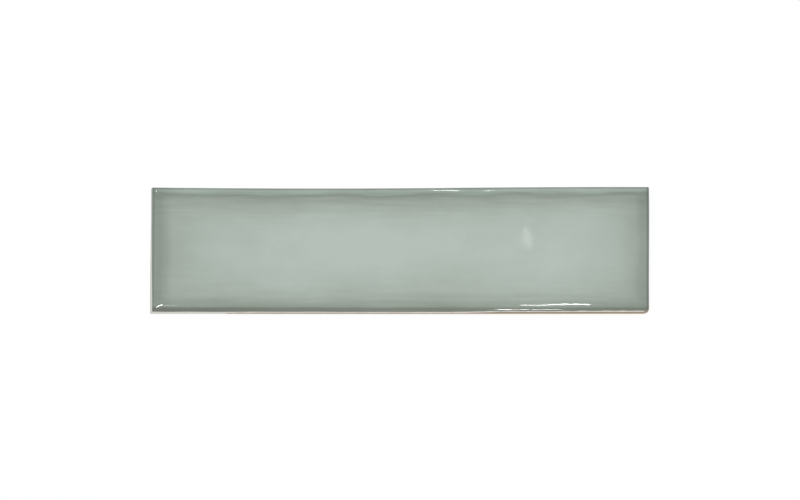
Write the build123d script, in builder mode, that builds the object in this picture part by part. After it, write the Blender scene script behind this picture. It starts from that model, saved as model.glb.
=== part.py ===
"""A glazed ceramic wall tile of the long brick format, one pressed and fired piece.

The face looks hand made: its edges wander a little in plan, the field swells by fractions of a
millimetre, and all round it falls away in a soft shoulder that ends in a rolled arris. The walls
lean in a little towards the face and have a bevel at the foot, and the back is keyed for its
adhesive by a grid of ribs.

The tile lies on its back. X runs along it, Y across it and Z up through the glazed face, with the
origin at the middle of the back.
"""

import os
from math import cos, pi, radians, tan

from build123d import *

# Overall size, in millimetres
length = 300.0
width = 77.0
thickness = 9.0

# Outline: each pressed edge drifts inwards from the nominal rectangle by up to twice its drift,
# in one slow wave that is deepest at the stated place along the edge
near_drift, near_wave, near_deepest = 0.10, 420.0, -150.0
far_drift, far_wave, far_deepest = 0.50, 360.0, -50.0
left_drift, left_wave, left_deepest = 0.45, 154.0, 38.5
right_drift, right_wave, right_deepest = 0.43, 154.0, -38.5

# The near right corner is worn round, and the other three are sharp
worn_corner_radius = 3.6

# Walls: they lean inwards above the bevel that lets the blank leave its die
wall_draft = 6.0
foot_bevel_height = 1.0
foot_bevel_inset = 0.4

# Face: the soft shoulder inside every edge, and the arris rolled over it
shoulder_width = 10.0
shoulder_drop = 1.1
arris_radius = 1.8

# Face: the slow swell of the field, in waves along the tile and across it
swell_height = 0.16
swell_length = 118.0
swell_across = 96.0

# Back: ribs in relief round shallow drafted pockets
rib_height = 0.7
rib_width = 3.0
back_border = 5.0
pocket_pitch = 21.0
pocket_radius = 1.6
pocket_draft = 30.0

# Spacing of the points that carry the outline and the face
outline_step = 25.0
face_step = 3.0
face_overhang = 3.0


def inset(along, drift, wave, deepest):
    """How far an edge lies inside the nominal rectangle at a place along it."""
    return drift * (1 + cos(2 * pi * (along - deepest) / wave))


def near_edge(x):
    return -width / 2 + inset(x, near_drift, near_wave, near_deepest)


def far_edge(x):
    return width / 2 - inset(x, far_drift, far_wave, far_deepest)


def left_edge(y):
    return -length / 2 + inset(y, left_drift, left_wave, left_deepest)


def right_edge(y):
    return length / 2 - inset(y, right_drift, right_wave, right_deepest)


def lean(height):
    """How far the walls have come in at a height, from their widest line at the top of the bevel."""
    return (height - foot_bevel_height) * tan(radians(wall_draft))


def spread(low, high, step):
    """Evenly spaced values from low to high, about a step apart."""
    count = max(2, round((high - low) / step))
    return [low + (high - low) * i / count for i in range(count + 1)]


def outline_sides(height):
    """The points of the four sides of the outline at a height: near, right, far and left."""
    half_length, half_width, come_in = length / 2, width / 2, lean(height)
    near_left = (left_edge(-half_width) + come_in, near_edge(-half_length) + come_in)
    near_right = (right_edge(-half_width) - come_in, near_edge(half_length) + come_in)
    far_right = (right_edge(half_width) - come_in, far_edge(half_length) - come_in)
    far_left = (left_edge(half_width) + come_in, far_edge(-half_length) - come_in)
    inner_xs = spread(-half_length, half_length, outline_step)[1:-1]
    inner_ys = spread(-half_width, half_width, outline_step)[1:-1]
    return [
        [near_left] + [(x, near_edge(x) + come_in) for x in inner_xs] + [near_right],
        [near_right] + [(right_edge(y) - come_in, y) for y in inner_ys] + [far_right],
        [far_left] + [(x, far_edge(x) - come_in) for x in inner_xs] + [far_right],
        [near_left] + [(left_edge(y) + come_in, y) for y in inner_ys] + [far_left],
    ]


def shoulder(from_edge):
    """Share of the shoulder's drop at a distance from an edge: 1 at the edge, 0 past the shoulder."""
    return max(0.0, 1 - from_edge / shoulder_width) ** 3


def face_height(x, y):
    """Height of the glazed face over the back, before its arris is rolled."""
    come_in = lean(thickness)
    across = 1 - shoulder(y - near_edge(x) - come_in) - shoulder(far_edge(x) - come_in - y)
    along = 1 - shoulder(x - left_edge(y) - come_in) - shoulder(right_edge(y) - come_in - x)
    swell = cos(2 * pi * x / swell_length) * cos(2 * pi * y / swell_across)
    return thickness - swell_height * (1 - swell) / 2 - shoulder_drop * (1 - across * along)


# The pressed face as one smooth surface, a little larger than the outline
face_xs = spread(-length / 2 - face_overhang, length / 2 + face_overhang, face_step)
face_ys = spread(-width / 2 - face_overhang, width / 2 + face_overhang, face_step)
pressed_face = Face.make_surface_from_array_of_points(
    [[(x, y, face_height(x, y)) for y in face_ys] for x in face_xs], tol=0.002, min_deg=3, max_deg=3
)

# Whole pockets fill the back inside its border, in an even number of columns so that a rib runs
# across the middle
pocket_columns = 2 * max(1, round((length - 2 * back_border) / pocket_pitch / 2))
pocket_rows = max(1, round((width - 2 * back_border) / pocket_pitch))
pocket_length = (length - 2 * back_border + rib_width) / pocket_columns - rib_width
pocket_width = (width - 2 * back_border + rib_width) / pocket_rows - rib_width

with BuildPart() as tile:
    # The blank: the drifting outline, leaning in as it rises past the face
    for height in (0, thickness + shoulder_drop):
        with BuildSketch(Plane.XY.offset(height)):
            with BuildLine():
                for side in outline_sides(height):
                    Spline(*side)
            make_face()
    loft(ruled=True)
    upright_edges = tile.edges().group_by(Axis.Z)[1]
    worn_corner = upright_edges.sort_by(lambda edge: edge.center().X - edge.center().Y)[-1]
    fillet(worn_corner, worn_corner_radius)

    # The face: the blank is kept where the slab under the pressed surface lies
    extrude(pressed_face, amount=2 * thickness, dir=(0, 0, -1), mode=Mode.INTERSECT)
    face_rim = tile.faces().sort_by(Axis.Z)[-1].outer_wire().edges()
    fillet(face_rim, arris_radius)

    # The foot bevel
    back = tile.faces().sort_by(Axis.Z)[0]
    chamfer(back.outer_wire().edges(), foot_bevel_inset, foot_bevel_height, reference=back)

    # The keyed back
    with BuildSketch(Plane.XY):
        with GridLocations(pocket_length + rib_width, pocket_width + rib_width, pocket_columns, pocket_rows):
            RectangleRounded(pocket_length, pocket_width, pocket_radius)
    extrude(amount=rib_height, taper=pocket_draft, mode=Mode.SUBTRACT)

tile.part.label = "tile"

os.makedirs("parts", exist_ok=True)
export_step(tile.part, "parts/tile.step")
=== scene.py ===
"""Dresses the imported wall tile, one glazed and fired piece, in the frame of its CAD model.

The tile is one closed surface. Its glazed face, its walls and its keyed back are worked out as
whole arrays over one grid of lines, and the face and the back share the outermost lines through
the walls. The lines crowd together over the rolled arris and along the sides of the back's pockets.
"""

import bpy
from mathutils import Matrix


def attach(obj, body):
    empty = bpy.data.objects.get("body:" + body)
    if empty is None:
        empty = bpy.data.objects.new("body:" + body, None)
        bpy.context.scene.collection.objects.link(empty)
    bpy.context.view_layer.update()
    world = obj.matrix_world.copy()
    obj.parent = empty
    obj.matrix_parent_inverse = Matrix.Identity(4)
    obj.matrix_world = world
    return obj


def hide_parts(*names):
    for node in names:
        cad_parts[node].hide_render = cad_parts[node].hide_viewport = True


bl_info = {
    "name": "Glazed wall tile",
    "version": (1, 0, 0),
    "blender": (4, 5, 0),
    "location": "View3D > Sidebar > Tile",
    "description": "Builds a long glazed ceramic wall tile and the plain studio that it lies in",
    "category": "Add Mesh",
}

from math import pi, radians, tan

import bpy
import numpy as np
from bpy.props import FloatProperty, FloatVectorProperty, PointerProperty
from mathutils import Matrix, Vector

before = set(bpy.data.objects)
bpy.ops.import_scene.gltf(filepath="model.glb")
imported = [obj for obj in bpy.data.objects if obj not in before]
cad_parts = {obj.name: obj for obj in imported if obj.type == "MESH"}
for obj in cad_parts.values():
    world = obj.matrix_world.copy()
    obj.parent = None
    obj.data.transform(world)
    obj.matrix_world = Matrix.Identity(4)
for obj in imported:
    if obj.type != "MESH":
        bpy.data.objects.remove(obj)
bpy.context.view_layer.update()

MM = 0.001
NODE = "tile"
BODY = "root"
LENGTH = 300 * MM
WIDTH = 77 * MM
THICKNESS = 9 * MM

# The drift of each edge, as the CAD has it: its reach, the length of its wave, where it is deepest
DRIFTS = {
    "near": (0.10 * MM, 420 * MM, -150 * MM),
    "far": (0.50 * MM, 360 * MM, -50 * MM),
    "left": (0.45 * MM, 154 * MM, 38.5 * MM),
    "right": (0.43 * MM, 154 * MM, -38.5 * MM),
}

# How far in from an edge the tile follows its drift in full, and how far in at all: on the face and
# the walls, and on the back, where the drift ends within the plain border
FACE_FADE = (2.5 * MM, 22 * MM)
BACK_FADE = (0.8 * MM, 4.6 * MM)

# How many cosine waves make up a rolling field
WAVES = 28


def linear(hex_colour):
    """An sRGB hex colour as linear red, green, blue and full alpha."""
    channels = [int(hex_colour[i : i + 2], 16) / 255 for i in (1, 3, 5)]
    return (*(c / 12.92 if c <= 0.04045 else ((c + 0.055) / 1.055) ** 2.4 for c in channels), 1.0)


def millimetres(name, description, value):
    """A length property, given in millimetres."""
    return FloatProperty(name=name, description=description, default=value * MM, min=0, unit="LENGTH")


def colour(name, description, hex_colour):
    """A colour property, given as sRGB hex."""
    default = linear(hex_colour)[:3]
    return FloatVectorProperty(
        name=name, description=description, default=default, size=3, min=0, max=1, subtype="COLOR"
    )


def share(name, description, value):
    """A plain number property between nought and one."""
    return FloatProperty(name=name, description=description, default=value, min=0, max=1)


def angle(name, description, degrees):
    """An angle property, given in degrees."""
    return FloatProperty(name=name, description=description, default=radians(degrees), subtype="ANGLE")


class TileShape(bpy.types.PropertyGroup):
    """Sizes of the tile beyond its length, width and thickness"""

    corner_radius: millimetres("Corner radius", "Rounding of the three sharp upright corners", 0.5)
    worn_corner_radius: millimetres("Worn corner radius", "Rounding of the near right corner", 3.6)
    wall_draft: angle("Wall draft", "How far the walls lean in towards the face", 6)
    foot_bevel_height: millimetres("Foot bevel height", "Height of the bevel at the foot of the walls", 1.0)
    foot_bevel_inset: millimetres("Foot bevel inset", "How far the bevel reaches in under the back", 0.4)
    shoulder_width: millimetres("Shoulder width", "Width of the soft fall inside every edge", 10)
    shoulder_drop: millimetres("Shoulder drop", "How far the face falls over the shoulder", 1.1)
    shoulder_wander: millimetres("Shoulder wander", "How far the shoulder wanders in and out", 0.45)
    arris_radius: millimetres("Arris radius", "Radius of the rolled edge of the face", 1.8)
    swell_height: millimetres("Swell height", "Height of the slow swell of the face", 0.16)
    swell_length: millimetres("Swell length", "Length of a swell along the tile", 118)
    swell_across: millimetres("Swell width", "Length of a swell across the tile", 96)
    ripple_height: millimetres("Ripple height", "Height of the small waves in the fired glaze", 0.012)
    glaze_thickness: millimetres("Glaze thickness", "How far the glaze stands out from the walls", 0.14)
    rib_height: millimetres("Rib height", "Relief of the ribs on the back", 0.7)
    rib_width: millimetres("Rib width", "Width of the ribs on the back", 3)
    back_border: millimetres("Back border", "Width of the plain border of the back", 5)
    pocket_pitch: millimetres("Pocket pitch", "Rough distance from one pocket of the back to the next", 21)
    pocket_radius: millimetres("Pocket radius", "Corner radius of the back's pockets", 1.6)
    pocket_draft: angle("Pocket draft", "Lean of the pockets' sides", 30)


class TileFinish(bpy.types.PropertyGroup):
    """Colours and gloss of the fired tile"""

    glaze: colour("Glaze", "The glaze where it lies thinnest, over the white ground", "#A9B2A8")
    body: colour("Body", "The bare fired body", "#968573")
    slip: colour("Slip", "The white slip under the glaze, where it shows on the walls", "#E8E5DC")
    dust: colour("Dust", "Pale dust on the lower half of the walls", "#C5B3A2")
    # Painted shade: a dark tint on the right end wall, darkest at the far corner, where the wall lies in
    # shade
    painted_shade: colour("Scorch", "The kiln's scorch on the right end, darkest at the far corner", "#454440")
    wash: colour("Kiln wash", "White wash on the ribs of the back", "#DAD3C7")
    glaze_roughness: share("Glaze roughness", "Roughness of the fired glaze", 0.045)


class TileStage(bpy.types.PropertyGroup):
    """The camera and the light"""

    view_width: millimetres("View width", "Width of the view at the tile", 479.05)
    camera_distance: millimetres("Camera distance", "From the camera to the tile", 6000)
    lean_near: angle("Lean to the near side", "How far the camera stands off the vertical, towards -Y", 10)
    lean_left: angle("Lean to the left", "How far the camera stands off the vertical, towards -X", 3)
    ambient: share("Ambient light", "Strength of the light from all round", 0.52)


def eased(t):
    """A smooth step: 3t^2 - 2t^3 between nought and one, level outside."""
    t = np.clip(t, 0, 1)
    return t * t * (3 - 2 * t)


def bell(distance, width):
    """A bell curve, exp(-(distance / width)^2)."""
    return np.exp(-((distance / width) ** 2))


def rolling(x, y, size, seed, stretch=1.0):
    """A rolling field with a spread of about one: the sum of cosine waves about as long as size, in
    random directions and phases. They are longer along X by the factor stretch."""
    draw = np.random.default_rng(seed)
    heading, phase = draw.uniform(0, 2 * pi, (2, WAVES))
    rate = 2 * pi / (size * draw.uniform(0.75, 1.5, WAVES))
    along = np.multiply.outer(rate * np.cos(heading) / stretch, x)
    across = np.multiply.outer(rate * np.sin(heading), y)
    starts = phase.reshape((WAVES,) + (1,) * np.ndim(along[0]))
    return np.cos(along + across + starts).sum(0) * (2 / WAVES) ** 0.5


def drift(along, edge):
    """How far an edge lies inside the nominal rectangle: a raised cosine wave along the edge."""
    reach, wave, deepest = DRIFTS[edge]
    return reach * (1 + np.cos(2 * pi * (along - deepest) / wave))


def lean(height, shape):
    """How far the walls have come in at a height: the tangent of their draft times the rise."""
    return (height - shape.foot_bevel_height) * tan(shape.wall_draft)


def rim_height(shape):
    """Height of the rim, the line where the rolled arris meets the walls."""
    return THICKNESS - shape.shoulder_drop - shape.arris_radius


def rounded(u, v, reach=0.0):
    """Turns a square corner into a round one. A point of the unit square goes to
    (u sqrt(1 - v^2/2), v sqrt(1 - u^2/2)), which bends the outer sides into a quarter circle. Points
    beyond the square follow the side's own move, which fades out over reach."""
    u, v = np.broadcast_arrays(np.maximum(u, 0), np.maximum(v, 0))
    beyond = np.maximum(np.maximum(u, v), 1)
    near_u, near_v = u / beyond, v / beyond
    move_u = near_u * np.sqrt(1 - near_v**2 / 2) - near_u
    move_v = near_v * np.sqrt(1 - near_u**2 / 2) - near_v
    hold = np.clip(1 - (beyond - 1) / reach, 0, 1) if reach else 1.0
    return u + move_u * hold, v + move_v * hold


class Pockets:
    """The back's pockets along one axis: how long, where, and how far each line lies inside."""

    def __init__(self, half, shape, even):
        """Whole pockets fill the span inside the border, in an even number where that is asked."""
        span = 2 * (half - shape.back_border)
        per_step = 2 if even else 1
        count = per_step * max(1, round(span / shape.pocket_pitch / per_step))
        self.size = (span + shape.rib_width) / count - shape.rib_width
        pitch = self.size + shape.rib_width
        self.middles = (np.arange(count) - (count - 1) / 2) * pitch

    def inside(self, lines):
        """How far each line lies inside its nearest pocket's opening, and towards which side."""
        offset = lines[:, None] - self.middles
        nearest = np.take_along_axis(offset, np.abs(offset).argmin(1)[:, None], 1)[:, 0]
        return self.size / 2 - np.abs(nearest), np.sign(nearest)


def grid_lines(half, pockets, shape):
    """Lines across one axis: the quarter turn of the arris, even steps to the border of the back,
    then in each pocket lines along its sloping side and round its corner, and even steps between."""
    turn = np.linspace(0, pi / 2, 11)
    arris = shape.arris_radius * (1 - np.cos(turn))
    support, step = 0.25 * MM, 1.45 * MM
    border = np.linspace(shape.arris_radius, shape.back_border - support, 6)[1:]
    slope = shape.rib_height * tan(shape.pocket_draft)
    in_corner = 0.6 * (slope + support) + 0.4 * shape.pocket_radius
    side = np.array([0, slope / 2, slope, slope + support, in_corner])
    steps = round((pockets.size - 2 * shape.pocket_radius) / step)
    middle = np.linspace(shape.pocket_radius, pockets.size - shape.pocket_radius, steps + 1)
    one = np.concatenate([side, middle, pockets.size - side])
    starts = pockets.middles - pockets.size / 2
    in_pockets = (starts[:, None] + one).ravel()
    rib = np.array([support, shape.rib_width / 2, shape.rib_width - support])
    on_ribs = (starts[:-1, None] + pockets.size + rib).ravel()
    edge = np.concatenate([arris, border])
    return np.unique(np.round(np.concatenate([edge - half, in_pockets, on_ribs, half - edge]), 9))


def placed(x, y, step_in, hold, reach):
    """Takes points of the nominal rectangle to the drifting outline: each moves inwards by its
    edges' drift plus step_in, in full as far as hold from the edge, and not at all past reach."""

    def fade(from_edge):
        """One as far as hold from the edge, and an eased fall to nought at reach."""
        return 1 - eased((from_edge - hold) / (reach - hold))

    half_x, half_y = LENGTH / 2, WIDTH / 2
    new_x = x + (drift(y, "left") + step_in) * fade(x + half_x)
    new_x = new_x - (drift(y, "right") + step_in) * fade(half_x - x)
    new_y = y + (drift(x, "near") + step_in) * fade(y + half_y)
    new_y = new_y - (drift(x, "far") + step_in) * fade(half_y - y)
    return new_x, new_y


def shoulder(from_edge, shape):
    """Share of the shoulder's drop at a distance from an edge: a cube that ends at its width."""
    return np.clip(1 - from_edge / shape.shoulder_width, 0, 1) ** 3


def edge_distances(x, y, come_in):
    """Distances of points from the near, far, left and right edges, moved in by come_in."""
    return (
        y + WIDTH / 2 - drift(x, "near") - come_in,
        WIDTH / 2 - drift(x, "far") - come_in - y,
        x + LENGTH / 2 - drift(y, "left") - come_in,
        LENGTH / 2 - drift(y, "right") - come_in - x,
    )


def face_height(x, y, shape):
    """Height of the face before its arris is rolled: the full thickness, less the swell, two
    crossed cosines, and less the shoulder's drop, one minus the product of what each axis keeps."""
    wander = shape.shoulder_wander * rolling(x, y, 30 * MM, seed=3, stretch=1.3)
    near, far, left, right = edge_distances(x, y, lean(THICKNESS, shape))
    across = 1 - shoulder(near + wander, shape) - shoulder(far + wander, shape)
    along = 1 - shoulder(left + wander, shape) - shoulder(right + wander, shape)
    swell = np.cos(2 * pi * x / shape.swell_length) * np.cos(2 * pi * y / shape.swell_across)
    return THICKNESS - shape.swell_height * (1 - swell) / 2 - shape.shoulder_drop * (1 - across * along)


def arris_drop(from_rim, shape):
    """How far the rolled edge lies under the face: a quarter circle, R - sqrt(R^2 - (R - d)^2)."""
    radius = shape.arris_radius
    return radius - np.sqrt(radius**2 - np.clip(radius - from_rim, 0, radius) ** 2)


def glaze_depth_and_painted_light(x, y, shape):
    """Depth of colour of the glaze, nought where it is thinnest, and how streaky it is. It is partly
    glaze that has pooled and partly painted light: painted shade in the dark bands inside the long
    sides and over the arris, and a painted reflection in the thin pale band along the far rim. It
    thins out from the ends as falling exponentials and from the long sides as bell curves, all by
    millimetres from the edge, with a darker band inside each edge and a thin pale one along the left
    and far rims. The two meet in the corners as the cube root of the sum of their cubes. It lies
    deepest where it rolls over the arris, and clouds a little in between."""
    near, far, left, right = np.maximum(edge_distances(x, y, lean(THICKNESS, shape)), 0) / MM
    wander = 0.5 * rolling(x, y, 22 * MM, seed=11, stretch=1.6)
    left_end = 0.30 * np.exp(-left / 38) + 0.15 * (1 - eased((left + wander - 8) / 4.5))
    left_end = left_end + 0.05 * (1 - eased((left - 15) / 14)) - 0.08 * bell(left, 3)
    right_end = 0.31 * np.exp(-right / 33) + 0.07 * bell(right + wander, 6)
    right_end = right_end + 0.055 * bell(right + wander - 10, 4.5)
    # Inside the near side the depth is partly pooled glaze and partly painted shade, where the rolled edge
    # would reflect darkness
    near_side = 0.22 * bell(near, 22) + 0.10 * bell(near + wander - 7.5, 3.5) + 0.3 * bell(near, 3)
    # Inside the far side: partly pooled glaze, partly a painted shade band for a dark reflection, and a
    # thin pale band along the rim that is a painted reflection
    far_side = 0.30 * bell(far, 19.5) + 0.17 * bell(far + wander - 6.5, 5.5)
    far_side = far_side + 0.08 * bell(far + wander - 3.5, 1.4) - 0.1 * bell(far - 1.5, 0.8)
    ends, sides = left_end + right_end, near_side + far_side
    depth = np.cbrt(ends**3 + sides**3)

    # Where the glaze rolls over the arris: how far in from each edge, and how much deeper it is. The
    # extra depth is partly pooled glaze and partly painted shade in place of the rolled edge's dark
    # reflections
    rolls = ((near, 1.9, 0.36), (far, 0.6, 0.35), (left, 1.2, 0.2), (right, 1.2, 0.35))
    for from_edge, rolled, extra in rolls:
        depth = depth + extra * (1 - eased((from_edge - rolled + 0.3) / 0.6))
    clouds = 0.026 * rolling(x, y, 60 * MM, seed=839, stretch=2.2)
    clouds = clouds + 0.011 * rolling(x, y, 45 * MM, seed=1116, stretch=1.5)
    clouds = clouds + 0.008 * rolling(x, y, 28 * MM, seed=327, stretch=1.5)
    return depth + clouds, sides


def glaze_breaks(x, y, shape):
    """Share of white ground that shows where the glaze has drawn back from the rim: one as far in as
    a width that grows to the right on the near side and towards the near side at the left end."""
    near, _, left, _ = np.array(edge_distances(x, y, lean(rim_height(shape), shape))) / MM
    near_width = 0.12 * eased((x - 35 * MM) / (30 * MM)) + 0.12 * eased((x - 95 * MM) / (15 * MM))
    near_width = near_width - 0.02 + 0.04 * rolling(x, y, 9 * MM, seed=14)
    left_width = 0.4 * (1 - eased((y + 35 * MM) / (38 * MM)))
    bare_near = (1 - eased((near - near_width) / 0.2)) * eased((x - 25 * MM) / (30 * MM))
    bare_left = (1 - eased((left - left_width) / 0.25)) * (1 - eased((y + 5 * MM) / (20 * MM)))
    return np.maximum(bare_near, bare_left)


def glaze_run(x, y):
    """How far the glaze runs down the walls: a little at the left and in the middle, less and less
    from there to the right, with a slow unevenness."""
    run = MM * (0.75 - 0.4 * eased((x - 30 * MM) / (35 * MM)))
    return run * (1 + 0.15 * rolling(x, y, 26 * MM, seed=21))


def slip_and_painted_light_line(x, y, rim):
    """Height on the walls down to which the white slip shows under the glaze: the foot at the left
    end and beside it, half the wall as far as the middle of the long sides, and then a thin line
    that stops short of the right end. It is partly real slip and partly painted light, which makes
    the walls paler towards the left end."""
    covered = 1 - eased((x + 112 * MM + 1.5 * MM * rolling(x, y, 9 * MM, seed=23)) / (16 * MM))
    line = rim - MM * (3.0 + 0.2 * rolling(x, y, 12 * MM, seed=24))
    line = line + 2.4 * MM * eased((x - 35 * MM) / (30 * MM))
    line = line + 1.5 * MM * eased((x - LENGTH / 2 + 3 * MM) / (1.5 * MM))
    return line * (1 - covered) - 0.5 * MM * covered


def ring_of(grid):
    """The outermost entries of a grid, in order: near side, right end, far side, left end."""
    return np.concatenate([grid[:, 0], grid[-1, 1:], grid[-2::-1, -1], grid[0, -2:0:-1]])


def quads(corners):
    """Quads over a grid of vertex numbers, facing the way of the first axis crossed with the second."""
    four = corners[:-1, :-1], corners[1:, :-1], corners[1:, 1:], corners[:-1, 1:]
    return np.stack(four, -1).reshape(-1, 4)


def rounded_grid(lines_x, lines_y, shape):
    """The grid of lines over the nominal rectangle, with its upright corners rounded: its points, how
    far they lie inside the rim, and the way out, which is of unit length on the rim."""
    half_x, half_y = LENGTH / 2, WIDTH / 2
    flat_x, flat_y = np.meshgrid(lines_x, lines_y, indexing="ij")
    radius = np.where((flat_x > 0) & (flat_y < 0), shape.worn_corner_radius, shape.corner_radius)
    u = (np.abs(flat_x) - (half_x - radius)) / radius
    v = (np.abs(flat_y) - (half_y - radius)) / radius
    round_u, round_v = rounded(u, v)
    base_x = np.sign(flat_x) * np.where(u > 0, half_x - radius + radius * round_u, np.abs(flat_x))
    base_y = np.sign(flat_y) * np.where(v > 0, half_y - radius + radius * round_v, np.abs(flat_y))
    in_corner = (u > 0) & (v > 0)
    from_rim = radius * np.where(in_corner, 1 - np.hypot(round_u, round_v), 1 - np.maximum(u, v))
    out_x = np.sign(flat_x) * np.where(u > 0, round_u, 0)
    out_y = np.sign(flat_y) * np.where(v > 0, round_v, 0)
    return base_x, base_y, from_rim, out_x, out_y


def glazed_face(base_x, base_y, from_rim, shape):
    """The face over the drifting outline: its height with a ripple, two rolling fields, added, and
    the drop of the rolled arris taken away."""
    x, y = placed(base_x, base_y, lean(rim_height(shape), shape), *FACE_FADE)
    ripple = 0.7 * rolling(x, y, 17 * MM, seed=5) + 0.3 * rolling(x, y, 8 * MM, seed=6)
    z = face_height(x, y, shape) + shape.ripple_height * (ripple - 2.5) / 2
    return np.stack([x, y, z - arris_drop(from_rim, shape)], -1)


def wall_rings(ring_x, ring_y, out_x, out_y, rim, shape):
    """The walls as rings of points down from the rim, and how many of the rings are glazed. Each has
    its height and how far it stands out from the leaning wall. The glaze goes down to its lower bead,
    the bare body goes on behind it, a little rough, and its bevel has random nicks."""
    foot, skin = shape.foot_bevel_height, shape.glaze_thickness
    run = np.clip(glaze_run(ring_x, ring_y), 0.25 * MM, rim - foot - 0.9 * MM)
    nicks = np.maximum(rolling(ring_x, ring_y, 5 * MM, seed=31) - 1.5, 0) * 0.2 * MM
    body_top = rim - run - 0.05 * MM
    rings = [
        (rim - 0.3 * run, 0),
        (rim - 0.65 * run, 0.01 * MM),
        (rim - 0.9 * run, -0.02 * MM),
        (rim - run, -0.55 * skin),
    ]
    glazed_rings = len(rings)
    for share_down in (0, 0.08, 0.3, 0.6, 0.9):
        height = body_top + (foot + 0.15 * MM - body_top) * share_down
        rough = 0.02 * MM * rolling(ring_x + height, ring_y, 4 * MM, seed=22)
        rings.append((height, -skin * (1 - 0.7 * share_down) + rough - 0.02 * MM))
    bevel_top = np.full_like(rim, foot)
    rings.append((bevel_top, -0.02 * MM - 0.3 * nicks))
    rings.append((0.55 * bevel_top, -0.4 * shape.foot_bevel_inset - nicks))
    rings.append((0.12 * bevel_top, -0.85 * shape.foot_bevel_inset - nicks))
    walls = []
    for height, outwards in rings:
        x, y = placed(ring_x, ring_y, lean(np.maximum(height, foot), shape), *FACE_FADE)
        walls.append(np.stack([x + out_x * outwards, y + out_y * outwards, height], -1))
    return np.stack(walls), glazed_rings


def keyed_back(base_x, base_y, lines_x, lines_y, columns, rows, shape):
    """The back with its pockets, and how far each point is sunk, from nought to one. The sides of a
    pocket are eased steps along X and Y, of which the shallower counts, and its corners are rounded
    by moving the points beside them. Its floor rolls a little."""
    slope = shape.rib_height * tan(shape.pocket_draft)
    in_x, side_x = columns.inside(lines_x)
    in_y, side_y = rows.inside(lines_y)
    sunk = np.minimum(eased(in_x / slope)[:, None], eased(in_y / slope)[None, :])
    reach = shape.rib_width / 2 / shape.pocket_radius
    pocket_u = np.maximum(1 - in_x / shape.pocket_radius, 0)[:, None]
    pocket_v = np.maximum(1 - in_y / shape.pocket_radius, 0)[None, :]
    turned_u, turned_v = rounded(pocket_u, pocket_v, reach)
    x = base_x + side_x[:, None] * (turned_u - pocket_u) * shape.pocket_radius
    y = base_y + side_y[None, :] * (turned_v - pocket_v) * shape.pocket_radius
    x, y = placed(x, y, shape.foot_bevel_inset + 0.05 * MM, *BACK_FADE)
    floor_wave = 0.03 * MM * (1 + rolling(x, y, 14 * MM, seed=41) / 3)
    return np.stack([x, y, sunk * (shape.rib_height - floor_wave)], -1), sunk


def tile_surface(shape):
    """The tile as arrays: points, quads, each quad's material and each point's attributes."""
    columns, rows = Pockets(LENGTH / 2, shape, even=True), Pockets(WIDTH / 2, shape, even=False)
    lines_x, lines_y = grid_lines(LENGTH / 2, columns, shape), grid_lines(WIDTH / 2, rows, shape)
    base_x, base_y, from_rim, out_x, out_y = rounded_grid(lines_x, lines_y, shape)
    ring_x, ring_y, out_x, out_y = (ring_of(grid) for grid in (base_x, base_y, out_x, out_y))

    # The face, the walls and the back, each a grid of points
    face = glazed_face(base_x, base_y, from_rim, shape)
    rim = ring_of(face[..., 2])
    walls, glazed_rings = wall_rings(ring_x, ring_y, out_x, out_y, rim, shape)
    back, sunk = keyed_back(base_x, base_y, lines_x, lines_y, columns, rows, shape)
    points = np.concatenate([grid.reshape(-1, 3) for grid in (face, walls, back)])

    # The points' numbers in the same grids, and the quads that join them into one closed surface
    numbers, first = [], 0
    for grid in (face, walls, back):
        count = grid.shape[0] * grid.shape[1]
        numbers.append(first + np.arange(count).reshape(grid.shape[:2]))
        first += count
    face_numbers, wall_numbers, back_numbers = numbers
    around = np.vstack([ring_of(face_numbers), wall_numbers, ring_of(back_numbers)])
    around = np.hstack([around, around[:, :1]])
    wall_quads = quads(around)[:, ::-1]
    face_quads, back_quads = quads(face_numbers), quads(back_numbers)[:, ::-1]
    all_quads = np.concatenate([face_quads, wall_quads, back_quads])
    bare = np.ones(len(all_quads), int)
    bare[: len(face_quads) + glazed_rings * (around.shape[1] - 1)] = 0

    # What the materials read; the painted shade on the right end, a dark tint for the shade that falls on
    # that wall, fades out towards the near corner
    depth, streaks = glaze_depth_and_painted_light(points[:, 0], points[:, 1], shape)
    slip = np.full(len(points), THICKNESS)
    slip[wall_numbers] = slip_and_painted_light_line(ring_x, ring_y, rim)
    painted_shade, ribs = np.zeros(len(points)), np.zeros(len(points))
    painted_shade[wall_numbers] = np.clip(out_x, 0, 1) * eased((ring_y + 40 * MM) / (60 * MM))
    ribs[back_numbers] = 1 - sunk
    attributes = {
        "glaze_depth_and_painted_light": depth,
        "glaze_streaks": streaks,
        "glaze_breaks": glaze_breaks(points[:, 0], points[:, 1], shape),
        "slip_and_painted_light_line": slip,
        "painted_shade": painted_shade,
        "ribs": ribs,
    }
    return points, all_quads, bare, attributes


def add_node(tree, kind, inputs=None, output=0, **settings):
    """Adds a node with its settings and gives one of its outputs. An input, by name or number, is a
    value, or another node's output to link from."""
    node = tree.nodes.new(kind)
    for name, value in settings.items():
        setattr(node, name, value)
    for name, value in (inputs or {}).items():
        if isinstance(value, bpy.types.NodeSocket):
            tree.links.new(value, node.inputs[name])
        else:
            node.inputs[name].default_value = value
    return node.outputs[output] if len(node.outputs) else node


def new_material(name):
    """An empty material and its tree."""
    material = bpy.data.materials.new(name)
    material.use_nodes = True
    material.node_tree.nodes.clear()
    return material, material.node_tree


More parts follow.
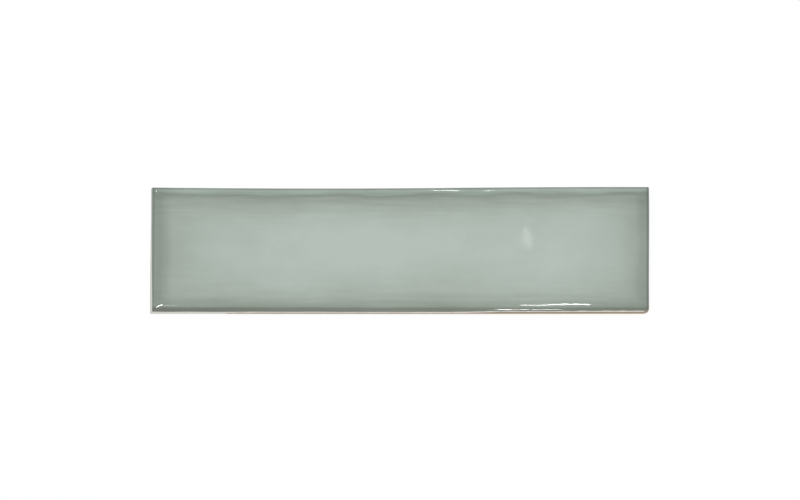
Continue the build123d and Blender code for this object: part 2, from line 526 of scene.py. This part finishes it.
def fired_glaze(finish):
    """Transparent lead-free glaze over a white slip, fired glossy. The eye gets a wet, mirror-like
    skin with a faint ripple, and under it a grey green that deepens wherever the melt has pooled and,
    as painted shade, in bands along the long sides and over the arris; it is paler along the far rim
    as a painted reflection."""
    material, tree = new_material("fired_sage_glaze")
    place = add_node(tree, "ShaderNodeTexCoord", output="Object")
    depth = add_node(tree, "ShaderNodeAttribute", output="Fac", attribute_name="glaze_depth_and_painted_light")

    # Cloudy patterns by the length of their features along X, Y and Z, in millimetres. The grain of
    # a real glaze is a tenth or two of a millimetre, too fine to show, and is drawn coarser
    patterns = {}
    for name, size, detail, roughness in (
        ("streaks", (45, 3, 3), 4, 0.6),
        ("clouds", (24, 15, 15), 5, 0.6),
        ("grain", (1.1, 1.1, 1.1), 2, 0.5),
        ("waves", (9, 5, 5), 1, 0.5),
        ("smears", (18, 7, 7), 2, 0.5),
    ):
        scaling = {"Vector": place, "Scale": [1 / (s * MM) for s in size]}
        scaled = add_node(tree, "ShaderNodeMapping", scaling)
        settings = {"Vector": scaled, "Scale": 1.0, "Detail": detail, "Roughness": roughness}
        patterns[name] = add_node(tree, "ShaderNodeTexNoise", settings)

    # Streaks left by the spray, which show along the long sides, milky clouds, and a fine grain
    streaky = add_node(tree, "ShaderNodeAttribute", output="Fac", attribute_name="glaze_streaks")
    streaks = {0: patterns["streaks"], 1: 1.2, 2: -0.6}
    streaks = add_node(tree, "ShaderNodeMath", streaks, operation="MULTIPLY_ADD")
    depth = add_node(tree, "ShaderNodeMath", {0: streaks, 1: streaky, 2: depth}, operation="MULTIPLY_ADD")
    layers = (("clouds", 0.22), ("grain", 0.06))
    for name, weight in layers:
        layer = {0: patterns[name], 1: weight, 2: depth}
        depth = add_node(tree, "ShaderNodeMath", layer, operation="MULTIPLY_ADD")
    mean = -0.5 * sum(weight for name, weight in layers)
    depth = add_node(tree, "ShaderNodeMath", {0: depth, 1: mean}, operation="ADD")

    # Sparse pale specks, a millimetre across, one to each 9 mm cube that the surface happens to meet
    scaled = add_node(tree, "ShaderNodeMapping", {"Vector": place, "Scale": (1 / (9 * MM),) * 3})
    cells = add_node(tree, "ShaderNodeTexVoronoi", {"Vector": scaled, "Scale": 1.0}, output="Distance")
    specks = {"Value": cells, "From Min": 0.03, "From Max": 0.065, "To Min": -0.13, "To Max": 0.0}
    specks = add_node(tree, "ShaderNodeMapRange", specks)
    depth = add_node(tree, "ShaderNodeMath", {0: depth, 1: specks}, operation="ADD")

    # Each equal step of depth takes the same share of what is left of the light, blue a little more
    deepest, absorption = 1.6, (1.0, 1.0, 1.12)
    ranged = add_node(tree, "ShaderNodeMath", {0: depth, 1: 1 / deepest}, operation="MULTIPLY")
    tint = add_node(tree, "ShaderNodeValToRGB", {"Fac": ranged})
    ramp = tint.node.color_ramp
    stops = np.linspace(0, 1, 7)
    for position in stops[1:-1]:
        ramp.elements.new(position)
    for element, position in zip(ramp.elements, stops):
        left = [c * np.exp(-a * position * deepest) for c, a in zip(finish.glaze, absorption)]
        element.position = position
        element.color = (*left, 1)

    # The white ground shows where the glaze has drawn back from the rim
    breaks = add_node(tree, "ShaderNodeAttribute", output="Fac", attribute_name="glaze_breaks")
    ground = (*finish.slip, 1)
    tint = add_node(tree, "ShaderNodeMix", {0: breaks, 6: tint, 7: ground}, output=2, data_type="RGBA")

    # The skin: waves left by the melt as it levelled, and a finer peel
    height = {0: patterns["grain"], 1: 0.05, 2: patterns["waves"]}
    height = add_node(tree, "ShaderNodeMath", height, operation="MULTIPLY_ADD")
    skin = add_node(tree, "ShaderNodeBump", {"Height": height, "Strength": 1.0, "Distance": 0.02 * MM})
    low = finish.glaze_roughness - 0.01
    rough = {0: patterns["smears"], 1: 0.02, 2: low}
    rough = add_node(tree, "ShaderNodeMath", rough, operation="MULTIPLY_ADD")
    surface = add_node(
        tree,
        "ShaderNodeBsdfPrincipled",
        {"Base Color": tint, "Roughness": rough, "IOR": 1.52, "Normal": skin},
    )
    add_node(tree, "ShaderNodeOutputMaterial", {"Surface": surface})
    return material


def pressed_body(finish):
    """Earthenware, dust pressed and fired once. The eye gets a dry, matt, sandy biscuit surface. On
    the walls it has white slip above an uneven line, which is partly painted light that makes the
    walls paler towards the left end, pale dust lower down and painted shade, a dark tint, on the
    right end, and on the back's ribs a rubbed white kiln wash."""
    material, tree = new_material("pressed_earthenware_body")
    place = add_node(tree, "ShaderNodeTexCoord", output="Object")
    height = add_node(tree, "ShaderNodeSeparateXYZ", {0: place}, output="Z")
    slip_and_painted_light_line = add_node(tree, "ShaderNodeAttribute", output="Fac", attribute_name="slip_and_painted_light_line")
    painted_shade_share = add_node(tree, "ShaderNodeAttribute", output="Fac", attribute_name="painted_shade")
    ribs = add_node(tree, "ShaderNodeAttribute", output="Fac", attribute_name="ribs")

    # Cloudy patterns by the size of their features, in millimetres. The grit of a real body is
    # finer than half a millimetre, too fine to show, and is drawn coarser
    patterns = {}
    for name, size, detail, roughness in (
        ("grit", 0.5, 3, 0.65),
        ("patches", 16, 3, 0.5),
        ("drops", 2.2, 4, 0.7),
        ("worn", 7, 4, 0.65),
    ):
        scaling = {"Vector": place, "Scale": (1 / (size * MM),) * 3}
        scaled = add_node(tree, "ShaderNodeMapping", scaling)
        settings = {"Vector": scaled, "Scale": 1.0, "Detail": detail, "Roughness": roughness}
        patterns[name] = add_node(tree, "ShaderNodeTexNoise", settings)
    grit, patches = patterns["grit"], patterns["patches"]

    # The biscuit: sandy speckle over broad darker and paler patches
    tone = add_node(tree, "ShaderNodeMath", {0: grit, 1: 1.3, 2: -0.4}, operation="MULTIPLY_ADD")
    tone = add_node(tree, "ShaderNodeMath", {0: patches, 1: 0.5, 2: tone}, operation="MULTIPLY_ADD")
    darker = (*[c * 0.78 for c in finish.body], 1)
    lighter = (*[min(c * 1.2, 1) for c in finish.body], 1)
    tint = add_node(tree, "ShaderNodeMix", {0: tone, 6: darker, 7: lighter}, output=2, data_type="RGBA")

    # Pale dust on the lower half of the walls, and painted shade, a dark tint on the right end
    dusty = {"Value": height, "From Min": 2.3 * MM, "From Max": 4.3 * MM, "To Min": 0.9, "To Max": 0.0}
    dusty = add_node(tree, "ShaderNodeMapRange", dusty)
    for amount, laid_on in ((dusty, finish.dust), (painted_shade_share, finish.painted_shade)):
        mixed = {0: amount, 6: tint, 7: (*laid_on, 1)}
        tint = add_node(tree, "ShaderNodeMix", mixed, output=2, data_type="RGBA")

    # The slip ends over half a millimetre, in small drips and splashes; where it pales the walls towards
    # the left end it is partly painted light
    above = add_node(tree, "ShaderNodeMath", {0: height, 1: slip_and_painted_light_line}, operation="SUBTRACT")
    above = {0: above, 1: 1 / (0.5 * MM), 2: -0.6}
    above = add_node(tree, "ShaderNodeMath", above, operation="MULTIPLY_ADD")
    covered = {0: patterns["drops"], 1: 1.4, 2: above}
    covered = add_node(tree, "ShaderNodeMath", covered, operation="MULTIPLY_ADD", use_clamp=True)
    slip = (*finish.slip, 1)
    tint = add_node(tree, "ShaderNodeMix", {0: covered, 6: tint, 7: slip}, output=2, data_type="RGBA")

    # The wash has rubbed off in places
    left_on = {0: patterns["worn"], 1: 2.2, 2: -0.75}
    left_on = add_node(tree, "ShaderNodeMath", left_on, operation="MULTIPLY_ADD", use_clamp=True)
    left_on = add_node(tree, "ShaderNodeMath", {0: left_on, 1: ribs}, operation="MULTIPLY")
    wash = (*finish.wash, 1)
    tint = add_node(tree, "ShaderNodeMix", {0: left_on, 6: tint, 7: wash}, output=2, data_type="RGBA")

    relief = add_node(tree, "ShaderNodeMath", {0: patches, 1: 0.4, 2: grit}, operation="MULTIPLY_ADD")
    bump = add_node(tree, "ShaderNodeBump", {"Height": relief, "Strength": 1.0, "Distance": 0.06 * MM})
    surface = add_node(
        tree,
        "ShaderNodeBsdfPrincipled",
        {"Base Color": tint, "Roughness": 0.95, "IOR": 1.5, "Specular IOR Level": 0.0, "Normal": bump},
    )
    add_node(tree, "ShaderNodeOutputMaterial", {"Surface": surface})
    return material


class TILE_OT_make_tile(bpy.types.Operator):
    """Builds the glazed tile in the place of its CAD solid"""

    bl_idname = "tile.make_tile"
    bl_label = "Make tile"

    def execute(self, context):
        scene = context.scene
        points, faces, bare, attributes = tile_surface(scene.tile_shape)
        mesh = bpy.data.meshes.new("glazed_tile")
        mesh.from_pydata(points.tolist(), [], faces.tolist())
        mesh.polygons.foreach_set("material_index", bare)
        mesh.polygons.foreach_set("use_smooth", np.ones(len(faces), bool))
        for name, values in attributes.items():
            mesh.attributes.new(name, "FLOAT", "POINT").data.foreach_set("value", values)
        mesh.materials.append(fired_glaze(scene.tile_finish))
        mesh.materials.append(pressed_body(scene.tile_finish))
        if mesh.validate():
            raise RuntimeError("the tile's surface has faults")
        tile = bpy.data.objects.new("glazed_tile", mesh)
        scene.collection.objects.link(tile)
        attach(tile, BODY)
        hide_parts(NODE)
        return {"FINISHED"}


def add_lamp(name, aim, direction, distance, size, radiance, tint="#FFFFFF", soft=0.0):
    """A rectangular lamp of a given radiance, facing the point aim from a distance in a direction.
    Its size is its width along X and its height, and soft is the share of each half of them over
    which its light dies away towards its sides. The camera doesn't see it."""
    light = bpy.data.lights.new(name, "AREA")
    light.shape = "RECTANGLE"
    light.size, light.size_y = size
    light.energy = radiance * pi * size[0] * size[1]
    light.color = linear(tint)[:3]
    if soft:
        light.use_nodes = True
        tree = light.node_tree
        tree.nodes.clear()
        across = add_node(tree, "ShaderNodeNewGeometry", output="Parametric")
        span = {0: across, 1: (2, 2, 0), 2: (-1, -1, 0)}
        across = add_node(tree, "ShaderNodeVectorMath", span, operation="MULTIPLY_ADD")
        across = add_node(tree, "ShaderNodeVectorMath", {0: across}, operation="ABSOLUTE")
        fall = {"Vector": across, 7: (1 - soft,) * 3, 8: (1, 1, 1), 9: (1, 1, 1), 10: (0, 0, 0)}
        kinds = {"data_type": "FLOAT_VECTOR", "interpolation_type": "SMOOTHSTEP"}
        faded = add_node(tree, "ShaderNodeMapRange", fall, output="Vector", **kinds)
        sides = add_node(tree, "ShaderNodeSeparateXYZ", {0: faded}).node
        both = {0: sides.outputs[0], 1: sides.outputs[1]}
        strength = add_node(tree, "ShaderNodeMath", both, operation="MULTIPLY")
        glow = add_node(tree, "ShaderNodeEmission", {"Color": (1, 1, 1, 1), "Strength": strength})
        add_node(tree, "ShaderNodeOutputLight", {"Surface": glow})
    lamp = bpy.data.objects.new(name, light)
    away = Vector(direction).normalized()
    along = Vector((1, 0, 0)) - away * away.x
    along.normalize()
    turn = Matrix((along, away.cross(along), away)).transposed().to_4x4()
    lamp.matrix_world = Matrix.Translation(Vector(aim) + away * distance) @ turn
    lamp.visible_camera = False
    bpy.context.scene.collection.objects.link(lamp)


def direct_view(tree):
    """One for rays from the camera, off a mirror or through glass, and nought for soft light."""
    path = add_node(tree, "ShaderNodeLightPath").node
    seen = path.outputs["Is Camera Ray"]
    for kind in ("Is Glossy Ray", "Is Transmission Ray"):
        seen = add_node(tree, "ShaderNodeMath", {0: seen, 1: path.outputs[kind]}, operation="MAXIMUM")
    return seen


def white_floor():
    """Painted board, matt white. The eye gets plain white paper that keeps a faint shadow: to the
    camera and in reflections the board is dark but glows, so that a shadow takes little away."""
    material, tree = new_material("matt_white_board")
    paint = add_node(tree, "ShaderNodeBsdfDiffuse", {"Color": linear("#E4E4E4")})
    shade = add_node(tree, "ShaderNodeBsdfDiffuse", {"Color": linear("#585858")})
    white = add_node(tree, "ShaderNodeEmission", {"Color": (1, 1, 1, 1), "Strength": 0.92})
    seen = add_node(tree, "ShaderNodeAddShader", {0: shade, 1: white})
    mixed = add_node(tree, "ShaderNodeMixShader", {0: direct_view(tree), 1: paint, 2: seen})
    add_node(tree, "ShaderNodeOutputMaterial", {"Surface": mixed})
    material.cycles.emission_sampling = "NONE"
    return material


class TILE_OT_make_stage(bpy.types.Operator):
    """Lays the white floor and sets the lamps, the world and the camera"""

    bl_idname = "tile.make_stage"
    bl_label = "Make stage"

    def execute(self, context):
        scene, stage = context.scene, context.scene.tile_stage
        half = 4.0
        mesh = bpy.data.meshes.new("floor")
        corners = [(-half, -half, 0), (half, -half, 0), (half, half, 0), (-half, half, 0)]
        mesh.from_pydata(corners, [], [(0, 1, 2, 3)])
        mesh.materials.append(white_floor())
        floor = bpy.data.objects.new("floor", mesh)
        scene.collection.objects.link(floor)

        world = bpy.data.worlds.new("white_room")
        world.use_nodes = True
        tree = world.node_tree
        tree.nodes.clear()
        settings = {0: direct_view(tree), 1: 1 - stage.ambient, 2: stage.ambient}
        strength = add_node(tree, "ShaderNodeMath", settings, operation="MULTIPLY_ADD")
        sky = add_node(tree, "ShaderNodeBackground", {"Color": (1, 1, 1, 1), "Strength": strength})
        add_node(tree, "ShaderNodeOutputWorld", {"Surface": sky})
        scene.world = world

        self.add_lamps()
        self.add_camera(scene, stage)
        scene.view_settings.view_transform = "Standard"
        return {"FINISHED"}

    def add_lamps(self):
        """Softboxes overhead and beyond the two long sides, and then small lamps, most of them close
        by, for the glints: lines along both long sides, a spot in each left corner, and two dim panes
        in the field. Each stands in the mirror direction of its glint, as the camera sees it."""
        add_lamp("overhead", (0, 0, 0), (0.052, 0.17, 1), 1.4, (0.9, 0.62), 1.3, soft=0.8)
        add_lamp("far_window", (0, 0, 0), (0.0, 0.86, 1.0), 1.2, (2.6, 0.72), 1.65, "#DDFAFF", soft=0.35)
        add_lamp("near_fill", (0, 0, 0), (0.0, -1.0, 0.3), 1.2, (2.6, 0.8), 0.42)
        add_lamp("near_tube", (0.0772, -0.038, 0.007), (0.07, -0.882, 0.469), 0.3, (0.037, 0.036), 42)
        add_lamp("shoulder_low", (0.0795, -0.0346, 0.0085), (0.067, -0.165, 1), 0.406, (0.0215, 0.016), 20)
        add_lamp("shoulder_mid", (0.0925, -0.0341, 0.0086), (0.0755, -0.12, 1), 0.404, (0.0126, 0.02), 26)
        add_lamp("shoulder_high", (0.1055, -0.0341, 0.0086), (0.0725, -0.092, 1), 0.403, (0.011, 0.02), 26)
        add_lamp("far_tube", (0.027, 0.0354, 0.0083), (0.085, 0.8, 1), 0.25, (0.03, 0.034), 17, soft=0.4)
        add_lamp("corner_tube", (-0.1435, -0.0345, 0.0085), (-0.08, -0.1, 1), 0.4, (0.046, 0.025), 24)
        add_lamp("corner_glow", (-0.1375, -0.0345, 0.0085), (0.01, -0.137, 1), 0.4, (0.018, 0.012), 5)
        add_lamp("corner_tick", (-0.1465, 0.0355, 0.008), (-0.235, 0.415, 1), 0.44, (0.028, 0.02), 70)
        field = (0.058, 0.176, 1)
        add_lamp("pane", (0.076, 0.006, 0.0089), field, 0.35, (0.0064, 0.0127), 2.6, soft=0.5)
        add_lamp("small_pane", (0.0795, 0.018, 0.0089), field, 0.35, (0.005, 0.005), 1.6, soft=0.5)

    def add_camera(self, scene, stage):
        """A long lens far off, leaning to two sides, with the tile's length level in the picture. It
        aims a fraction of a millimetre off the middle of the tile."""
        target = Vector((-0.26 * MM, -0.15 * MM, THICKNESS / 2))
        towards = Vector((-tan(stage.lean_left), -tan(stage.lean_near), 1)).normalized()
        up = towards.cross(Vector((1, 0, 0))).normalized()
        turn = Matrix((up.cross(towards), up, towards)).transposed().to_4x4()
        lens = bpy.data.cameras.new("camera")
        lens.sensor_width = 36
        lens.lens = lens.sensor_width * stage.camera_distance / stage.view_width
        lens.clip_end = 100
        camera = bpy.data.objects.new("camera", lens)
        camera.matrix_world = Matrix.Translation(target + towards * stage.camera_distance) @ turn
        scene.collection.objects.link(camera)
        scene.camera = camera


class TILE_PT_panel(bpy.types.Panel):
    """Sizes and colours of the tile, and the buttons that build it"""

    bl_label = "Glazed tile"
    bl_idname = "TILE_PT_panel"
    bl_space_type = "VIEW_3D"
    bl_region_type = "UI"
    bl_category = "Tile"

    def draw(self, context):
        for group in (context.scene.tile_shape, context.scene.tile_finish, context.scene.tile_stage):
            box = self.layout.box()
            for name in group.__annotations__:
                box.prop(group, name)
        self.layout.operator(TILE_OT_make_tile.bl_idname)
        self.layout.operator(TILE_OT_make_stage.bl_idname)


CLASSES = (TileShape, TileFinish, TileStage, TILE_OT_make_tile, TILE_OT_make_stage, TILE_PT_panel)


def register():
    """Registers the classes and gives the scene their settings."""
    for cls in CLASSES:
        bpy.utils.register_class(cls)
    bpy.types.Scene.tile_shape = PointerProperty(type=TileShape)
    bpy.types.Scene.tile_finish = PointerProperty(type=TileFinish)
    bpy.types.Scene.tile_stage = PointerProperty(type=TileStage)


def unregister():
    """Takes away what register() adds, in the opposite order."""
    del bpy.types.Scene.tile_stage
    del bpy.types.Scene.tile_finish
    del bpy.types.Scene.tile_shape
    for cls in reversed(CLASSES):
        bpy.utils.unregister_class(cls)


def main():
    """Builds the stage and the tile."""
    register()
    bpy.ops.tile.make_stage()
    bpy.ops.tile.make_tile()


if __name__ == "__main__":
    main()
